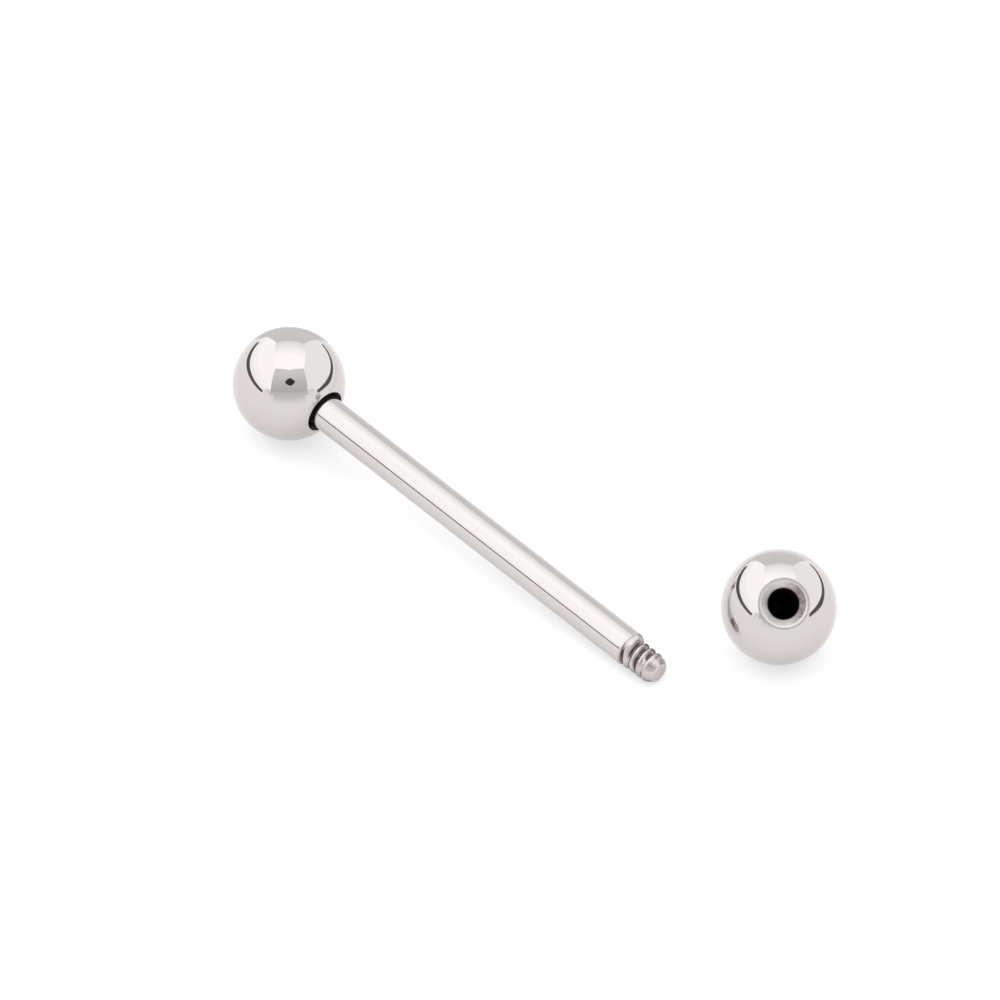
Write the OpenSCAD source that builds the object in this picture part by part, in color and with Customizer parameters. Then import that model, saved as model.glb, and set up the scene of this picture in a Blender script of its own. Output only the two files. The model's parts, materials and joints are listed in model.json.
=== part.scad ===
// Straight barbell, lying on a level surface with one of its balls unscrewed beside the threaded end.
// +X runs along the bar towards its threaded end, +Z is up, and the origin lies on the surface,
// midway between the centres of the two balls.

/* [Balls] */
// Diameter of each ball
ball_d = 5.1; // [4:0.1:8]
// Diameter of the countersink where it meets the ball's surface
mouth_d = 2.1; // [2:0.05:2.6]
// Diameter of each ball's hole, over the crests of its thread
hole_d = 1.24; // [1.1:0.02:1.3]
// Depth of each ball's hole below its mouth, without the drill point
hole_depth = 2.8; // [2:0.1:3]

/* [Bar] */
// Diameter of the plain bar
bar_d = 1.6; // [1.5:0.05:1.8]
// Length of plain bar that shows between the fixed ball's mouth and the taper
bar_l = 19.2; // [8:0.1:40]
// Length of the taper from the bar down to the thread
taper_l = 0.36; // [0.2:0.02:0.6]
// Depth below the fixed ball's mouth at which the bar has its full diameter
bar_sink = 0.15; // [0.1:0.01:0.2]
// Clearance between the post and the ball that is fitted on it
fit_gap = 0.03; // [0.02:0.01:0.05]

/* [Thread] */
// Outer diameter of the thread at its full end, beside the taper
thread_d = 1.38; // [1.34:0.02:1.46]
// Outer diameter of the thread where the chamfer starts
thread_end_d = 1.34; // [1.28:0.02:1.34]
// Length of the threaded end beyond the taper
thread_l = 1.5; // [1.1:0.02:4]
// Advance of the thread in each turn
pitch = 0.38; // [0.34:0.01:0.45]
// Depth of the groove between two crests
groove_depth = 0.2; // [0.12:0.01:0.22]
// Width of the flat crest
crest_w = 0.07; // [0.04:0.01:0.1]
// Width of the flat bottom of the groove
groove_w = 0.06; // [0.04:0.01:0.1]
// Angle round the bar at which the groove starts to run into the taper
start_turn = 185; // [5:30:335]
// Part of a turn in which the groove comes to its full depth
run_in = 0.5; // [0.25:0.125:1]
// Diameter of the flat face at the tip
tip_d = 0.9; // [0.8:0.02:1.1]
// Length of the chamfer round the tip
tip_l = 0.42; // [0.2:0.02:0.5]

/* [Loose ball] */
// Distance between the centres of the two balls, measured along the bar
loose_ahead = 25.45; // [25:0.05:45]
// Distance of the loose ball to the left of the bar
loose_aside = 5.15; // [4:0.05:20]
// Direction that the loose ball's hole faces, to the left of straight ahead
hole_turn = -38.5; // [-180:0.5:180]
// Angle of the loose ball's hole above level
hole_tilt = 47.5; // [20:0.5:60]

/* [Hidden] */
$fn = 96;
STEEL = [0.85, 0.84, 0.83];

ball_r = ball_d / 2;
mouth_r = mouth_d / 2;
hole_r = hole_d / 2;
bar_r = bar_d / 2;
thread_r = thread_d / 2;
thread_end_r = thread_end_d / 2;
root_r = thread_r - groove_depth;
tip_r = tip_d / 2;

// Heights along a ball's own axis, from its centre: the countersink is a cone of 90 degrees
mouth_h = sqrt(pow(ball_r, 2) - pow(mouth_r, 2));
seat_h = mouth_h - (mouth_r - hole_r);
hole_end_h = mouth_h - hole_depth;
drill_point_l = hole_r / tan(59);

// Heights along the bar, from the centre of the fixed ball
pin_r = hole_r - fit_gap;
pin_end_h = hole_end_h + 4 * fit_gap;
shoulder_h = seat_h + fit_gap * (sqrt(2) - 1);
bar_start_h = mouth_h - bar_sink;
bar_end_h = mouth_h + bar_l;
taper_end_h = bar_end_h + taper_l;
tip_h = taper_end_h + thread_l;

// The groove is swept along a helix, by a section that reaches out past the plain bar
STEPS = 24;
groove_top_r = bar_r + 0.06;
groove_mid_w = pitch - crest_w;
groove_top_w = pitch - 0.8 * crest_w;
groove_start_h = bar_end_h + 0.01;
groove_turns = (tip_h + pitch - groove_start_h) / pitch;
groove_rings = ceil(groove_turns * STEPS);
run_in_rings = run_in * STEPS;

// The fixed ball and the last full crest of the thread both touch the surface
rest_h = tip_h - tip_l;
bar_tilt = asin(ball_r / norm([rest_h, thread_end_r])) - atan(thread_end_r / rest_h);

// The six corners of the groove's section at one step along the helix, which starts outside the bar
function groove_section(i) =
    let (
        turn = start_turn + 360 * i / STEPS,
        h = groove_start_h + pitch * i / STEPS,
        lift = (groove_top_r - root_r) * pow(max(0, 1 - i / run_in_rings), 2),
        section = [
            [root_r, -groove_w / 2],
            [root_r, groove_w / 2],
            [thread_r, groove_mid_w / 2],
            [groove_top_r, groove_top_w / 2],
            [groove_top_r, -groove_top_w / 2],
            [thread_r, -groove_mid_w / 2]
        ]
    )
    [for (p = section) [(p[0] + lift) * cos(turn), (p[0] + lift) * sin(turn), h + p[1]]];

// The six sides between section i and the next one, each as two triangles
function groove_sides(i) =
    [for (a = [0:5], half = [0, 1])
        let (b = (a + 1) % 6)
        half == 0
            ? [6 * i + a, 6 * i + 6 + b, 6 * i + b]
            : [6 * i + a, 6 * i + 6 + a, 6 * i + 6 + b]];

module thread_groove() {
    sections = [for (i = [0:groove_rings]) each groove_section(i)];
    sides = [for (i = [0:groove_rings - 1]) each groove_sides(i)];
    last = 6 * groove_rings;
    ends = [
        [0, 1, 2, 3, 4, 5],
        [last + 5, last + 4, last + 3, last + 2, last + 1, last]
    ];
    polyhedron(points = sections, faces = concat(sides, ends));
}

// Plain turned body of the post, before its thread is cut
module turned_bar() {
    rotate_extrude()
        polygon([
            [0, pin_end_h],
            [pin_r, pin_end_h],
            [pin_r, shoulder_h],
            [bar_r, bar_start_h],
            [bar_r, bar_end_h],
            [thread_r, taper_end_h],
            [thread_end_r, rest_h],
            [tip_r, tip_h],
            [0, tip_h]
        ]);
}

// Ball with its hole along +Z
module drilled_ball() {
    difference() {
        sphere(ball_r);
        translate([0, 0, hole_end_h])
            cylinder(r = hole_r, h = ball_d);
        translate([0, 0, hole_end_h - drill_point_l])
            cylinder(r1 = 0, r2 = hole_r, h = drill_point_l);
        translate([0, 0, seat_h])
            cylinder(r1 = hole_r, r2 = hole_r + ball_r, h = ball_r);
    }
}

// Places what is built along +Z on the bar's own axis
module on_bar_axis() {
    translate([-loose_ahead / 2, -loose_aside / 2, ball_r])
        rotate([0, 90 + bar_tilt, 0])
            children();
}

module post() {
    color(STEEL)
        on_bar_axis()
            difference() {
                turned_bar();
                thread_groove();
            }
}

module fixed_ball() {
    color(STEEL)
        on_bar_axis()
            drilled_ball();
}

module loose_ball() {
    color(STEEL)
        translate([loose_ahead / 2, loose_aside / 2, ball_r])
            rotate([0, 90 - hole_tilt, hole_turn])
                drilled_ball();
}

post();
fixed_ball();
loose_ball();
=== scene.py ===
# Looks of a straight barbell in mirror-polished steel, lying on a white surface inside a soft light box
import bmesh
import bpy
import json
import math
from mathutils import Matrix, Vector


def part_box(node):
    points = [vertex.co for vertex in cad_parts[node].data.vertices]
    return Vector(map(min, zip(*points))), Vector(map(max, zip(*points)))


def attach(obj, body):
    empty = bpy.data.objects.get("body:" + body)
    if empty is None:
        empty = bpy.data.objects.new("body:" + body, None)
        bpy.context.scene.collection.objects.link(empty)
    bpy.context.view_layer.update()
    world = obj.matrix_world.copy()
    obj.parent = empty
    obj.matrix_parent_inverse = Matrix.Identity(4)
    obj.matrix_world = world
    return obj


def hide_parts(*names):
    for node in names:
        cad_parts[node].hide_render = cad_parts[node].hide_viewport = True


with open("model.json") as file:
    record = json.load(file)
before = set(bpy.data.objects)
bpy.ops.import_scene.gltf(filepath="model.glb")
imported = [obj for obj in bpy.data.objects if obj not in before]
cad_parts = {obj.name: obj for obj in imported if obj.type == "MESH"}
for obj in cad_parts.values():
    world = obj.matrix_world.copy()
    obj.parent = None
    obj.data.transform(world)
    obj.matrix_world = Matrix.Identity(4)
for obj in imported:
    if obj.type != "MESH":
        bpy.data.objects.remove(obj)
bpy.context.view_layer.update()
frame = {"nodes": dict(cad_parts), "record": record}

MM = 0.001

# Directions of the picture, to the right and towards the camera, both level, and the camera's rise
TURN = math.radians(45.268)
RISE = math.radians(43)
RIGHT = Vector((math.cos(TURN), math.sin(TURN), 0))
TOWARDS = Vector((math.sin(TURN), -math.cos(TURN), 0))
UP = Vector((0, 0, 1))

# Interfaces of the part, as its record gives them
MOUNTS = {m["name"]: m for m in frame["record"]["mounts"]}
BAR, HOLE, THREAD = (MOUNTS[name] for name in ("bar", "ball_hole", "threaded_end"))
BAR_AXIS = Vector(BAR["axis"]).normalized()
HOLE_AXIS = Vector(HOLE["axis"]).normalized()

# Centres of the balls in metres: the fixed ball's hole cuts its box short at the +X end
LOOSE_LO, LOOSE_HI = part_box("loose_ball")
LOOSE_CENTRE = (LOOSE_LO + LOOSE_HI) / 2
BALL_R = (LOOSE_HI.z - LOOSE_LO.z) / 2 / MM
FIXED_LO, FIXED_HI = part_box("fixed_ball")
FIXED_CENTRE = (FIXED_LO + FIXED_HI) / 2
FIXED_CENTRE.x = FIXED_LO.x + BALL_R * MM

# Sizes of the pieces in millimetres, with heights along a piece's own axis from the centre of its ball
HOLE_R = HOLE["dims"]["r_mm"]
HOLE_MIDDLE_H = (Vector(HOLE["pos_m"]) - LOOSE_CENTRE).dot(HOLE_AXIS) / MM
HOLE_END_H = HOLE_MIDDLE_H - HOLE["dims"]["length_mm"] / 2
SEAT_H = HOLE_MIDDLE_H + HOLE["dims"]["length_mm"] / 2
SINK_END_R = 0.69
DRILL_POINT_L = HOLE_R / math.tan(math.radians(59))

BAR_R = BAR["dims"]["r_mm"]
THREAD_R = THREAD["dims"]["r_mm"]
THREAD_L = THREAD["dims"]["length_mm"]
TIP_H = (Vector(THREAD["pos_m"]) - FIXED_CENTRE).dot(BAR_AXIS) / MM + THREAD_L / 2
TAPER_END_H = TIP_H - THREAD_L
SHOULDER_H = TAPER_END_H - 0.36
THREAD_END_R = 0.67
TIP_R = 0.45
TIP_L = 0.42

# The thread's groove, where FLANK is the half width that it gains for each millimetre above its bottom
PITCH = 0.38
ROOT_R = 0.49
GROOVE_W = 0.06
FLANK = 0.625
GROOVE_START_H = SHOULDER_H + 0.07
GROOVE_START_TURN = 185
RUN_IN = 0.2


# Shapes of turned pieces
def share(value, low, high):
    """How far the value has come from low to high, between 0 and 1."""
    return min(1.0, max(0.0, (value - low) / (high - low)))


def smooth(value, low, high):
    """Goes from 0 at low to 1 at high, gently at both ends."""
    part = share(value, low, high)
    return part * part * (3 - 2 * part)


def axis_matrix(origin, axis):
    """Frame with +Z along the axis and +Y level, at the origin given in metres."""
    side = UP.cross(axis).normalized()
    across = side.cross(axis).normalized()
    turn = Matrix((across, side, axis)).transposed().to_4x4()
    return Matrix.Translation(origin) @ turn


def arc(centre, radius, start, end, steps):
    """Points of an arc in the plane of (radius, height), with angles in degrees from the radius axis."""
    angles = [math.radians(start + (end - start) * i / steps) for i in range(steps + 1)]
    return [(centre[0] + radius * math.cos(a), centre[1] + radius * math.sin(a)) for a in angles]


def rounded(points, fillets, steps=6):
    """Outline through the points, with the corners that are given a radius turned into arcs."""
    outline = []
    for i, point in enumerate(points):
        radius = fillets.get(i, 0)
        if not radius:
            outline.append(point)
            continue
        here = Vector(point)
        before = (Vector(points[i - 1]) - here).normalized()
        after = (Vector(points[i + 1]) - here).normalized()
        half = before.angle(after) / 2
        reach = radius / math.tan(half)
        middle = here + (before + after).normalized() * radius / math.sin(half)
        first = here + before * reach - middle
        last = here + after * reach - middle
        for k in range(steps + 1):
            direction = first.lerp(last, k / steps).normalized()
            outline.append(tuple(middle + direction * radius))
    return outline


def dense(points, longest):
    """Adds points on the straight stretches so that none is longer than given."""
    out = [points[0]]
    for (r0, h0), (r1, h1) in zip(points, points[1:]):
        n = max(1, math.ceil(math.dist((r0, h0), (r1, h1)) / longest))
        out += [(r0 + (r1 - r0) * k / n, h0 + (h1 - h0) * k / n) for k in range(1, n + 1)]
    return out


def rings(points, columns):
    """Level rows, one for each point of (radius, height)."""
    return [[point] * (columns + 1) for point in points]


def helix_rows(columns, low, high, radius_at, steps, downwards=False):
    """Rows that follow a thread between low and high, each of them climbing by the pitch in a full turn."""
    def level(height):
        return [(radius_at(height, j / columns), height) for j in range(columns + 1)]

    turns = math.ceil((high - low) / PITCH) + 2
    rows = [level(low)]
    for i in range(-turns * steps, turns * steps + 1):
        row = []
        for j in range(columns + 1):
            turn = j / columns
            height = min(high, max(low, low + PITCH * (i / steps + turn)))
            row.append((radius_at(height, turn), height))
        if any(low < height < high for _, height in row):
            rows.append(row)
    rows.append(level(high))
    return rows[::-1] if downwards else rows


def turned(name, parts, materials, matrix, aside=lambda height: 0.0, painted_shade_at=None):
    """Closed body from parts, each of them rows of (radius, height) with the index of their material.

    What is turned off centre goes aside along -Y, and the last argument gives each point's painted shade.
    """
    rows = [row for part, _ in parts for row in part]
    kinds = [kind for part, kind in parts for _ in part]
    columns = len(rows[0]) - 1
    mesh = bmesh.new()
    grid = []
    for row in rows:
        line = []
        for j, (radius, height) in enumerate(row):
            a = 2 * math.pi * j / columns
            across = radius * math.sin(a) - aside(height)
            line.append(mesh.verts.new((radius * math.cos(a) * MM, across * MM, height * MM)))
        grid.append(line)
    for i, kind in enumerate(kinds[1:]):
        for j in range(columns):
            face = mesh.faces.new((grid[i][j], grid[i][j + 1], grid[i + 1][j + 1], grid[i + 1][j]))
            face.material_index = kind
            face.smooth = True
    bmesh.ops.remove_doubles(mesh, verts=mesh.verts, dist=0.0002 * MM)
    data = bpy.data.meshes.new(name)
    mesh.to_mesh(data)
    mesh.free()

    own_place = data.attributes.new("own_place", "FLOAT_VECTOR", "POINT")
    for vertex, entry in zip(data.vertices, own_place.data):
        entry.vector = vertex.co / MM
    # Painted shade, which the thread's steel turns into darkness
    if painted_shade_at:
        painted_shade = data.attributes.new("painted_shade", "FLOAT", "POINT")
        for vertex, entry in zip(data.vertices, painted_shade.data):
            entry.value = painted_shade_at(vertex.co / MM)
    data.transform(matrix)
    for material in materials:
        data.materials.append(material)
    piece = bpy.data.objects.new(name, data)
    bpy.context.scene.collection.objects.link(piece)
    return piece


FIXED_FRAME = axis_matrix(FIXED_CENTRE, BAR_AXIS)
LOOSE_FRAME = axis_matrix(LOOSE_CENTRE, HOLE_AXIS)


# Shader helpers, and the numbers of a colour mix's sockets, whose names its other kinds have too
MIX_FACTOR, MIX_A, MIX_B = 0, 6, 7
MIX_RESULT = 2


def new_material(name):
    material = bpy.data.materials.new(name)
    material.use_nodes = True
    material.node_tree.nodes.clear()
    return material, material.node_tree


def add(tree, kind, inputs=None, **settings):
    """New node, whose inputs are values or the outputs of other nodes."""
    node = tree.nodes.new(kind)
    for key, value in settings.items():
        setattr(node, key, value)
    for key, value in (inputs or {}).items():
        if isinstance(value, bpy.types.NodeSocket):
            tree.links.new(value, node.inputs[key])
        else:
            node.inputs[key].default_value = value
    return node


def show(tree, shader):
    """Makes the shader the material's surface."""
    add(tree, "ShaderNodeOutputMaterial", {"Surface": shader.outputs[0]})


def blend_colours(tree, factor, first, second, blend_type="MIX"):
    """Blend of two colours, either of which may be another node's output."""
    first, second = (c if isinstance(c, bpy.types.NodeSocket) else (*c, 1) for c in (first, second))
    node = add(tree, "ShaderNodeMix", {MIX_FACTOR: factor, MIX_A: first, MIX_B: second},
               data_type="RGBA", blend_type=blend_type)
    return node.outputs[MIX_RESULT]


def spread(tree, value, low, high, source_low=0.0, source_high=1.0):
    """Goes from low to high while the value goes from source_low to source_high."""
    node = add(tree, "ShaderNodeMapRange", {"Value": value, "From Min": source_low, "From Max": source_high,
                                            "To Min": low, "To Max": high})
    return node.outputs[0]


def vector_math(tree, operation, output, *inputs):
    return add(tree, "ShaderNodeVectorMath", dict(enumerate(inputs)), operation=operation).outputs[output]


def steel_parts(name, stretch):
    """A steel material's first nodes: its own coordinates in millimetres, a soft noise and a fine one."""
    material, tree = new_material(name)
    in_mm = add(tree, "ShaderNodeAttribute", attribute_name="own_place").outputs["Vector"]
    drawn = add(tree, "ShaderNodeMapping", {"Vector": in_mm, "Scale": stretch}).outputs[0]
    soft = add(tree, "ShaderNodeTexNoise", {"Vector": in_mm, "Scale": 0.9, "Detail": 3.0}).outputs["Fac"]
    fine = add(tree, "ShaderNodeTexNoise", {"Vector": drawn, "Scale": 9.0, "Detail": 5.0}).outputs["Fac"]
    return material, tree, in_mm, soft, fine


def finish_steel(tree, colour, roughness, relief, depth, rim):
    """Metal with relief of a depth in millimetres, and with rim as the tint of its edges' reflections."""
    bump = add(tree, "ShaderNodeBump", {"Height": relief, "Strength": 1.0, "Distance": depth * MM})
    shader = add(tree, "ShaderNodeBsdfPrincipled", {"Base Color": colour, "Metallic": 1.0,
                                                    "Roughness": roughness,
                                                    "Specular Tint": (rim, rim * 0.98, rim * 0.97, 1),
                                                    "Normal": bump.outputs[0]})
    show(tree, shader)


MIRROR_COLOURS = ((0.572, 0.545, 0.538), (0.552, 0.524, 0.516))
STAIN_COLOUR = (0.62, 0.56, 0.54)
BROWN_COLOUR = (0.19, 0.145, 0.14)
BROWN_SIDE = LOOSE_FRAME.to_3x3().transposed() @ (RIGHT - TOWARDS * 0.15).normalized()
MIRROR_RELIEF = 0.00003
CUT_RELIEF = 0.001


def polished_steel(name, stretch=(1, 1, 1), rough=0.03, rim=1.0):
    material, tree, _, soft, fine = steel_parts(name, stretch)
    colour = blend_colours(tree, soft, *MIRROR_COLOURS)
    roughness = spread(tree, fine, rough, rough + 0.04, 0.35, 0.7)
    finish_steel(tree, colour, roughness, fine, MIRROR_RELIEF, rim)
    return material


def cut_steel(name, dark, light, low, high, rough, rim=0.8, brown_side=None, by_painted_shade=False):
    """Machined steel that goes from dark to light with its distance from the axis, which paints shade deep
    in the holes, or by its painted shade.
    """
    material, tree, in_mm, soft, fine = steel_parts(name, (1, 1, 6))
    # Painted shade: darkness stored with the points, or darkness near the axis, which puts shade deep in
    # the holes
    if by_painted_shade:
        painted_shade = add(tree, "ShaderNodeAttribute", attribute_name="painted_shade").outputs["Fac"]
        lightness = spread(tree, painted_shade, 1.0, 0.0, low, high)
    else:
        flat = vector_math(tree, "MULTIPLY", "Vector", in_mm, (1, 1, 0))
        distance = vector_math(tree, "LENGTH", "Value", flat)
        lightness = spread(tree, distance, 0.0, 1.0, low, high)
    body = blend_colours(tree, lightness, dark, light)
    if brown_side:
        sideways = vector_math(tree, "DOT_PRODUCT", "Value", in_mm, tuple(brown_side))
        patchy = add(tree, "ShaderNodeMath", {0: spread(tree, sideways, 0.0, 1.0, 0.0, 0.6),
                                              1: spread(tree, fine, 0.55, 1.0, 0.42, 0.6)},
                     operation="MULTIPLY").outputs[0]
        body = blend_colours(tree, patchy, body, BROWN_COLOUR)
    stains = spread(tree, soft, 0.0, 0.6, 0.35, 0.7)
    stained = blend_colours(tree, stains, body, STAIN_COLOUR, "MULTIPLY")
    wave = {"Vector": in_mm, "Scale": 9.0, "Distortion": 1.5, "Detail": 2.0}
    lines = add(tree, "ShaderNodeTexWave", wave, wave_type="BANDS", bands_direction="Z").outputs["Fac"]
    relief = add(tree, "ShaderNodeMath", {0: lines, 1: fine}, operation="ADD").outputs[0]
    roughness = spread(tree, fine, rough - 0.07, rough + 0.1, 0.3, 0.7)
    finish_steel(tree, stained, roughness, relief, CUT_RELIEF, rim)
    return material


BALL_STEEL = polished_steel("polished_ball_steel")
BAR_STEEL = polished_steel("polished_bar_steel", stretch=(1, 1, 0.15), rim=0.94)
LIP_STEEL = polished_steel("tumbled_lip_steel", rough=0.36)
# The thread's grooves, the start of its taper and its crests' upper side get painted shade
THREAD_STEEL = cut_steel("cut_thread_steel", dark=(0.17, 0.145, 0.14), light=(0.57, 0.54, 0.53),
                         low=0.0, high=1.0, rough=0.22, rim=0.35, by_painted_shade=True)
# The loose ball's countersink gets painted shade towards its bottom, and brown patches on one side
SINK_STEEL = cut_steel("countersunk_steel", dark=(0.35, 0.31, 0.30), light=(0.98, 0.96, 0.95),
                       low=0.67, high=0.76, rough=0.42, brown_side=BROWN_SIDE)
# The bore, and the pin inside it, are nearly black: painted shade
SHADED_BORE_STEEL = cut_steel("bore_painted_shade", dark=(0.02, 0.017, 0.017), light=(0.04, 0.034, 0.034),
                       low=0.5, high=0.75, rough=0.45)
# The fixed ball's countersink round the post is nearly black: painted shade
SHADED_SEAT_STEEL = cut_steel("seat_painted_shade", dark=(0.015, 0.013, 0.012), light=(0.035, 0.03, 0.03),
                       low=0.6, high=1.05, rough=0.4)
TIP_STEEL = cut_steel("faced_tip_steel", dark=(0.58, 0.55, 0.54), light=(0.62, 0.59, 0.58),
                      low=0.1, high=0.5, rough=0.32)


# The balls
def lip_outline(mouth_r, lip_r, steps=20):
    """Rounded lip that joins the ball's surface to the countersink of 90 degrees.

    Gives the angle at which it leaves the ball, its points, and the height of the countersink's own point.
    """
    mouth_h = math.sqrt(BALL_R ** 2 - mouth_r ** 2)
    offset = math.sqrt(2) * lip_r - (mouth_h - mouth_r)
    reach = BALL_R - lip_r
    centre_h = (-offset + math.sqrt(2 * reach ** 2 - offset ** 2)) / 2
    centre = (centre_h + offset, centre_h)
    start = math.degrees(math.atan2(centre[1], centre[0]))
    return start, arc(centre, lip_r, start, 135, steps), mouth_h - mouth_r


# The holes' thread, which comes to its full depth over one length while the hole narrows over another
INNER_DEPTH = 0.08
INNER_CREST_W = 0.1
INNER_SLOPE = 0.62
INNER_START_L = 0.25
NARROWING_L = 0.16


def internal_thread(top_h):
    """Radius of a hole at a height and a part of a turn, with its thread from top_h down."""
    def radius_at(height, turn):
        passes = (height - top_h) / PITCH - turn
        off_crest = abs(passes - round(passes)) * PITCH
        cut = min(INNER_DEPTH, max(0.0, (off_crest - INNER_CREST_W / 2) * INNER_SLOPE))
        started = share(top_h - height, 0, INNER_START_L)
        narrowed = share(top_h - height, 0, NARROWING_L)
        return HOLE_R + cut * started + (SINK_END_R - HOLE_R) * (1 - narrowed)
    return radius_at


def make_ball(name, matrix, mouth_r, lip_r, sink_material, lip_material, columns=192):
    shell_kind, sink_kind, hole_kind, lip_kind = range(4)
    start, lip, sink_point_h = lip_outline(mouth_r, lip_r)
    shell = [(0, -BALL_R)] + arc((0, 0), BALL_R, -90, start, 96)[1:-1]
    sink_end_h = sink_point_h + SINK_END_R
    sink = rounded([lip[-1], (SINK_END_R, sink_end_h), (SINK_END_R, sink_end_h - 0.12)], {1: 0.03})
    sink = dense(sink[:-1], 0.04)
    top_h = sink[-1][1]
    thread = helix_rows(columns, HOLE_END_H + 0.3, top_h, internal_thread(top_h), 14, downwards=True)
    hole_end = [(HOLE_R, HOLE_END_H), (0, HOLE_END_H - DRILL_POINT_L)]
    still_polished = 4
    parts = ((rings(shell + lip[:still_polished], columns), shell_kind),
             (rings(lip[still_polished:], columns), lip_kind),
             (rings(sink[1:], columns), sink_kind),
             (thread + rings(hole_end, columns), hole_kind))
    # The bore and the countersinks carry painted shade
    return turned(name, parts, (BALL_STEEL, sink_material, SHADED_BORE_STEEL, lip_material), matrix)


fixed_ball = make_ball("fixed_ball_shell", FIXED_FRAME, mouth_r=1.04, lip_r=0.05,
                       sink_material=SHADED_SEAT_STEEL, lip_material=BALL_STEEL)
loose_ball = make_ball("loose_ball_shell", LOOSE_FRAME, mouth_r=1.05, lip_r=0.18,
                       sink_material=SINK_STEEL, lip_material=LIP_STEEL)


# The post, with places along its groove, in turns, and the share of the groove's depth that is left there
GROOVE_WEAR = [(0.0, 1.0), (1.10, 1.0), (1.20, 0.4), (1.38, 0.4), (1.5, 1.0), (2.02, 1.0), (2.07, 0.8),
               (2.12, 1.0), (3.0, 1.0), (3.1, 0.25), (3.2, 0.25), (3.32, 0.7), (3.88, 0.7), (4.02, 0.1),
               (9.0, 0.1)]

# Direction round the post of the thread's most worn side, which is its upper edge in the picture, and where
# its crests get painted shade
WORN_AND_SHADED_SIDE = math.radians(125)


def wear(turns):
    """Share of the groove's depth that is left at a place along it."""
    for (a, share_a), (b, share_b) in zip(GROOVE_WEAR, GROOVE_WEAR[1:]):
        if turns <= b:
            return share_a + (share_b - share_a) * smooth(turns, a, b)
    return GROOVE_WEAR[-1][1]


def blank_radius(height):
    """Turned outline of the post before its thread is cut."""
    taper = (BAR_R - THREAD_R) * share(height, SHOULDER_H, TAPER_END_H)
    along = (THREAD_R - THREAD_END_R) * share(height, TAPER_END_H, TIP_H - TIP_L)
    chamfer = (THREAD_END_R - TIP_R) * share(height, TIP_H - TIP_L, TIP_H) ** 1.5
    return BAR_R - taper - along - chamfer


def thread_radius(height, turn):
    """Radius of the post at a height and a part of a turn, with the groove that runs in from the taper."""
    blank = blank_radius(height)
    radius = blank
    side_wear = 0.5 * smooth(math.cos(2 * math.pi * turn - WORN_AND_SHADED_SIDE), 0.75, 0.98)
    passes = (height - GROOVE_START_H) / PITCH - turn + GROOVE_START_TURN / 360
    nearest = round(passes)
    for k in (nearest - 1, nearest, nearest + 1):
        off_groove = abs(passes - k) * PITCH
        groove_turns = (height - GROOVE_START_H) / PITCH - (passes - k)
        before = max(0.0, 1 - (groove_turns - 0.05) / RUN_IN)
        bottom = ROOT_R + (BAR_R + 0.06 - ROOT_R) * before ** 2
        flank = bottom + max(0.0, off_groove - GROOVE_W / 2) / FLANK
        depth = max(0.0, blank - flank) * wear(groove_turns) * (1 - side_wear)
        radius = min(radius, blank - depth)
    return radius


def off_centre(height):
    """The thread is cut a little off the bar's own axis."""
    return 0.08 * smooth(height, SHOULDER_H - 0.25, TAPER_END_H)


def thread_painted_shade(point):
    """Painted shade in the grooves, along the start of the taper and on the crests' upper side."""
    centred = Vector((point.x, point.y + off_centre(point.z)))
    in_groove = smooth(blank_radius(point.z) - centred.length, 0.06, 0.16)
    off_line = abs(point.z - SHOULDER_H - 0.03)
    taper_line = 0.5 * (1 - smooth(off_line, 0.02, 0.05)) * smooth(-point.x, -0.3, 0.3)
    upper = centred.dot(Vector((math.cos(WORN_AND_SHADED_SIDE), math.sin(WORN_AND_SHADED_SIDE)))) / THREAD_R
    crests = 0.95 * smooth(upper, 0.76, 0.92) * smooth(point.z, TAPER_END_H - 0.1, TAPER_END_H + 0.1)
    return max(in_groove, taper_line, crests * (1 - smooth(point.z, TIP_H - 0.55, TIP_H - 0.3)))


def make_post(matrix, columns=144):
    bar_kind, thread_kind, pin_kind, tip_kind = range(4)
    pin_gap = 0.03
    pin_r = HOLE_R - pin_gap
    pin_end_h = HOLE_END_H + 4 * pin_gap
    pin_top_h = SEAT_H + 0.4 * pin_gap
    bar_start_h = SEAT_H + 0.22
    plain_lo, plain_hi, plain_rows = 3.0, 21.0, 40
    pin = rounded([(0, pin_end_h), (pin_r, pin_end_h), (pin_r, pin_top_h), (BAR_R, bar_start_h),
                   (BAR_R, plain_lo)], {1: 0.05, 2: 0.03, 3: 0.06})
    plain = [plain_lo + (plain_hi - plain_lo) * k / plain_rows for k in range(plain_rows + 1)]
    plain += [plain_hi + 0.15, SHOULDER_H - 0.22]
    low, high = SHOULDER_H - 0.2, TIP_H - 0.03
    thread = helix_rows(columns, low, high, thread_radius, 26)
    tip = rounded([(blank_radius(high - 0.03), high - 0.03), (TIP_R, TIP_H), (0, TIP_H)], {1: 0.05})
    tip = [(r, h) for r, h in tip[1:-1] if h > high] + [(r, TIP_H) for r in (0.36, 0.24, 0.12, 0)]
    parts = ((rings(pin[:-1], columns), pin_kind),
             (rings([(BAR_R, height) for height in plain], columns), bar_kind),
             (thread, thread_kind),
             (rings(tip, columns), tip_kind))
    # The pin inside the hole takes the bore's painted shade
    materials = (BAR_STEEL, THREAD_STEEL, SHADED_BORE_STEEL, TIP_STEEL)
    body = turned("steel_post", parts, materials, matrix, off_centre, thread_painted_shade)
    own_place = body.data.attributes["own_place"].data
    for face in body.data.polygons:
        if face.material_index == thread_kind and own_place[face.vertices[0]].vector.z < SHOULDER_H:
            face.material_index = bar_kind
    return body


post = make_post(FIXED_FRAME)

for piece, node, slot in ((post, "post", "bar_steel"), (fixed_ball, "fixed_ball", "ball_steel"),
                          (loose_ball, "loose_ball", "ball_steel")):
    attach(piece, "root")
    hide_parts(node)

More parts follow.
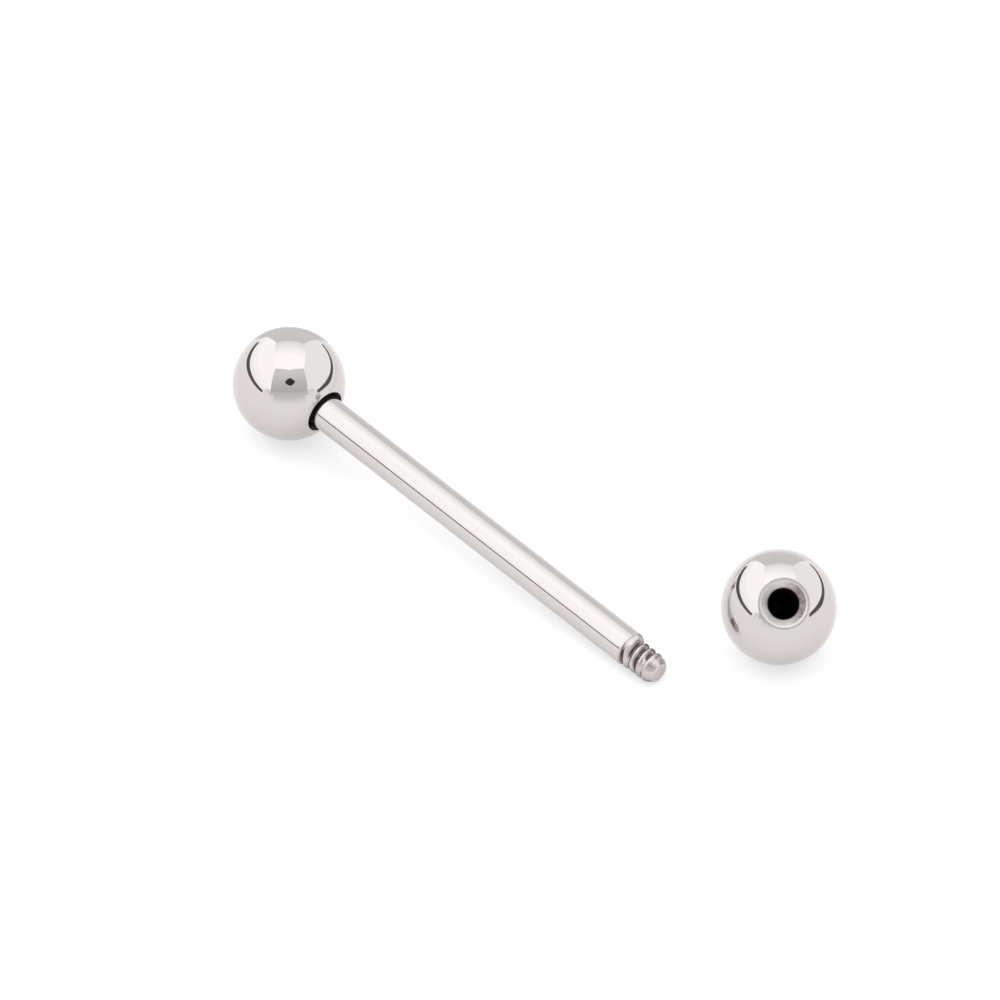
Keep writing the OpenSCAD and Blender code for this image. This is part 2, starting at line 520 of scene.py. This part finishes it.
for node, material in (("post", BAR_STEEL), ("fixed_ball", BALL_STEEL), ("loose_ball", BALL_STEEL)):
    data = frame["nodes"][node].data
    data.materials.clear()
    data.materials.append(material)


# Camera, with the point that it looks at and its distance from there in metres
VIEW = TOWARDS * math.cos(RISE) + UP * math.sin(RISE)
LOOK_AT = RIGHT * -0.00137 - TOWARDS * 0.002345
CAMERA_DISTANCE = 0.45
camera_data = bpy.data.cameras.new("camera")
camera_data.sensor_width = 36
camera_data.lens = 364.48
camera_data.clip_start = 0.01
camera_data.clip_end = 20
camera = bpy.data.objects.new("camera", camera_data)
bpy.context.scene.collection.objects.link(camera)
camera_turn = Matrix((RIGHT, VIEW.cross(RIGHT), VIEW)).transposed().to_4x4()
camera.matrix_world = Matrix.Translation(LOOK_AT + VIEW * CAMERA_DISTANCE) @ camera_turn
bpy.context.scene.camera = camera


# Light box: places are (to the right, towards the camera, up), in metres
def place(right, towards, up):
    return RIGHT * right + TOWARDS * towards + UP * up


def show_glow(tree, strength, colour=(1, 1, 1)):
    show(tree, add(tree, "ShaderNodeEmission", {"Color": (*colour, 1), "Strength": strength}))


def glow(name, strength, colour=(1, 1, 1)):
    """Light of one strength all over."""
    material, tree = new_material(name)
    show_glow(tree, strength, colour)
    return material


def graded_glow(name, axis, start, end, first, last):
    """Light whose strength goes from first to last between two places along an axis."""
    material, tree = new_material(name)
    here = add(tree, "ShaderNodeTexCoord").outputs["Object"]
    along = vector_math(tree, "DOT_PRODUCT", "Value", here, tuple(axis))
    show_glow(tree, spread(tree, along, first, last, start, end))
    return material


def stage_mesh(name, points, faces, material):
    """Piece of the surroundings that the camera doesn't see, but the steel reflects."""
    data = bpy.data.meshes.new(name)
    data.from_pydata([tuple(p) for p in points], [], faces)
    data.materials.append(material)
    piece = bpy.data.objects.new(name, data)
    bpy.context.scene.collection.objects.link(piece)
    piece.visible_camera = False
    return piece


def sheet(name, corners, material):
    stage_mesh(name, [place(*c) for c in corners], [(0, 1, 2, 3)], material)


CEILING_H = 0.9
LEFT_SIDE = 0.44
RIGHT_SIDE = 0.508
NEAR = 0.62
FAR = -1.15
LEDGE = -1.05


def side_wall(name, right, material):
    corners = [(right, NEAR, 0), (right, FAR, 0), (right, FAR, CEILING_H), (right, NEAR, CEILING_H)]
    sheet(name, corners, material)


def far_sheet(name, from_line, material):
    """Sheet as wide as the box, from a line at (towards, up) to the ceiling's far edge."""
    corners = [(-LEFT_SIDE, *from_line), (RIGHT_SIDE, *from_line),
               (RIGHT_SIDE, LEDGE, CEILING_H), (-LEFT_SIDE, LEDGE, CEILING_H)]
    sheet(name, corners, material)


side_wall("left_wall", -LEFT_SIDE, graded_glow("left_wall", UP, 0.12, 0.3, 1.5, 1.68))
side_wall("right_wall", RIGHT_SIDE, glow("right_wall", 1.42))
far_sheet("ceiling", (0.33, CEILING_H), graded_glow("ceiling", TOWARDS, LEDGE, -0.2, 1.22, 1.76))
far_sheet("back_wall", (FAR, 0), glow("back_wall", 1.0))

# The front of the box, from its leaning wall down to the skirt that reaches just below the floor
FRONT = 0.35
FRONT_WALL_H = 0.16
RAIL_H = 0.102
BELOW_FLOOR = -0.01


def front_wall():
    foot = [(right, FRONT, FRONT_WALL_H) for right in (-0.29, 0, 0.29)]
    top = [(-LEFT_SIDE, 0.227, CEILING_H), (0, 0.324, CEILING_H), (RIGHT_SIDE, 0.207, CEILING_H)]
    light = graded_glow("front_wall", UP, FRONT_WALL_H, 0.6, 0.74, 1.05)
    stage_mesh("front_wall", [place(*p) for p in foot + top], [(0, 1, 4, 3), (1, 2, 5, 4)], light)


def front_sheet(name, half_w, front, low, high, material):
    corners = [(-half_w, front, low), (half_w, front, low), (half_w, front, high), (-half_w, front, high)]
    sheet(name, corners, material)


front_wall()
front_sheet("front_rail", 0.31, FRONT, RAIL_H, FRONT_WALL_H, glow("front_rail", 0.88))
front_sheet("front_base", 0.22, FRONT + 0.002, BELOW_FLOOR, RAIL_H,
            graded_glow("front_base", UP, 0.0, 0.1, 1.25, 0.9))
front_sheet("front_skirt", 0.6, FRONT + 0.004, BELOW_FLOOR, 0.2,
            graded_glow("front_skirt", UP, 0.0, 0.2, 1.3, 1.12))

# Dark gap in each side wall, in rows of (azimuth, elevation, half of its height), in degrees as the object
# sees them: azimuths count from the camera's, to that wall's side
LEFT_GAP = [(56, 11.4, 2.4), (63, 11.9, 2.6), (78, 12.6, 2.9), (94, 12.0, 3.2), (108, 10.3, 3.5),
            (122, 7.8, 3.9), (134, 5.8, 4.0), (144, 4.2, 3.6), (151, 3.2, 3.0)]
RIGHT_GAP = [(60, 7.9, 3.0), (74, 7.0, 3.5), (90, 4.8, 4.2), (104, 2.6, 4.6), (118, 1.4, 4.6),
             (130, 1.0, 4.2), (142, 0.8, 3.8), (151, 0.6, 3.2)]
WALL_COLOUR = (1, 0.97, 0.96)
BASE_FOOT = -0.2
BASE_NEAR_END = 20


def wall_band(name, side, distance, lines, strength):
    """Band on a side wall, through lines of (azimuth, lower elevation, upper elevation) in degrees."""
    points = []
    for azimuth, *elevations in lines:
        a = math.radians(azimuth)
        reach = distance / math.sin(a)
        points += [place(side * distance, reach * math.cos(a), reach * math.tan(math.radians(elevation)))
                   for elevation in elevations]
    faces = [(2 * i, 2 * i + 2, 2 * i + 3, 2 * i + 1) for i in range(len(lines) - 1)]
    stage_mesh(name, points, faces, glow(name, strength, WALL_COLOUR))


def wall_with_gap(name, side, distance, gap, light):
    """Light base from just below the floor to the gap's middle, and the dark gap in front of it."""
    base = [(gap[0][0] - 7, BASE_FOOT, BASE_NEAR_END)]
    base += [(azimuth, BASE_FOOT, middle) for azimuth, middle, _ in gap]
    wall_band(name + "_base", side, distance - 0.005, base, light)
    band = [(azimuth, middle - half, middle + half) for azimuth, middle, half in gap]
    wall_band(name + "_gap", side, distance - 0.01, band, 0.15)


wall_with_gap("left", -1, LEFT_SIDE, LEFT_GAP, 1.33)
wall_with_gap("right", 1, RIGHT_SIDE, RIGHT_GAP, 1.27)


def disc(name, azimuth, elevation, distance, width, height, material, sides=48):
    """Disc that faces the object, with an outline between an ellipse and a diamond."""
    a, e = math.radians(azimuth), math.radians(elevation)
    out = place(math.sin(a) * math.cos(e), math.cos(a) * math.cos(e), math.sin(e))
    side = UP.cross(out).normalized()
    rise = out.cross(side)
    points = [out * distance]
    for k in range(sides):
        t = 2 * math.pi * k / sides
        across = math.copysign(abs(math.cos(t)) ** 1.4, math.cos(t)) * width / 2
        upwards = math.copysign(abs(math.sin(t)) ** 1.4, math.sin(t)) * height / 2
        points.append(out * distance + side * across + rise * upwards)
    faces = [(0, k + 1, (k + 1) % sides + 1) for k in range(sides)]
    stage_mesh(name, points, faces, material)


disc("dark_lens", azimuth=2.5, elevation=46.5, distance=0.41, width=0.148, height=0.112,
     material=glow("dark_lens", 0.05))


def floor_card(name, centre, height, strength):
    """Glowing wedge just above the floor behind a ball, which is seen in reflections only and paints the
    reflected floor there with a brightness of its own.
    """
    points = []
    for angle, reach in ((-22.5, 0.001), (22.5, 0.001), (22.5, 0.4), (-22.5, 0.4)):
        a = math.radians(angle)
        spot = centre + place(math.sin(a), -math.cos(a), 0) * reach
        points.append((spot.x, spot.y, height))
    card = stage_mesh(name, points, [(0, 1, 2, 3)], glow(name, strength))
    card.visible_diffuse = False
    card.visible_shadow = False


floor_card("fixed_back", FIXED_CENTRE, 0.0001, 0.9)
floor_card("loose_back", LOOSE_CENTRE, 0.00005, 1.17)


# Floor and surroundings
def white_floor(half_w=3):
    material, tree = new_material("white_floor")
    matt = add(tree, "ShaderNodeBsdfDiffuse", {"Color": (0.62, 0.616, 0.616, 1), "Roughness": 0.3})
    light = add(tree, "ShaderNodeEmission", {"Color": (1, 1, 1, 1), "Strength": 0.45})
    show(tree, add(tree, "ShaderNodeAddShader", {0: matt.outputs[0], 1: light.outputs[0]}))
    corners = [(-half_w, -half_w, 0), (half_w, -half_w, 0), (half_w, half_w, 0), (-half_w, half_w, 0)]
    floor = stage_mesh("white_floor", corners, [(0, 1, 2, 3)], material)
    floor.visible_camera = True


white_floor()

world = bpy.data.worlds.new("pale_room")
world.use_nodes = True
background = world.node_tree.nodes["Background"]
background.inputs["Color"].default_value = (1, 1, 1, 1)
background.inputs["Strength"].default_value = 1.05
bpy.context.scene.world = world
bpy.context.scene.view_settings.view_transform = "Standard"
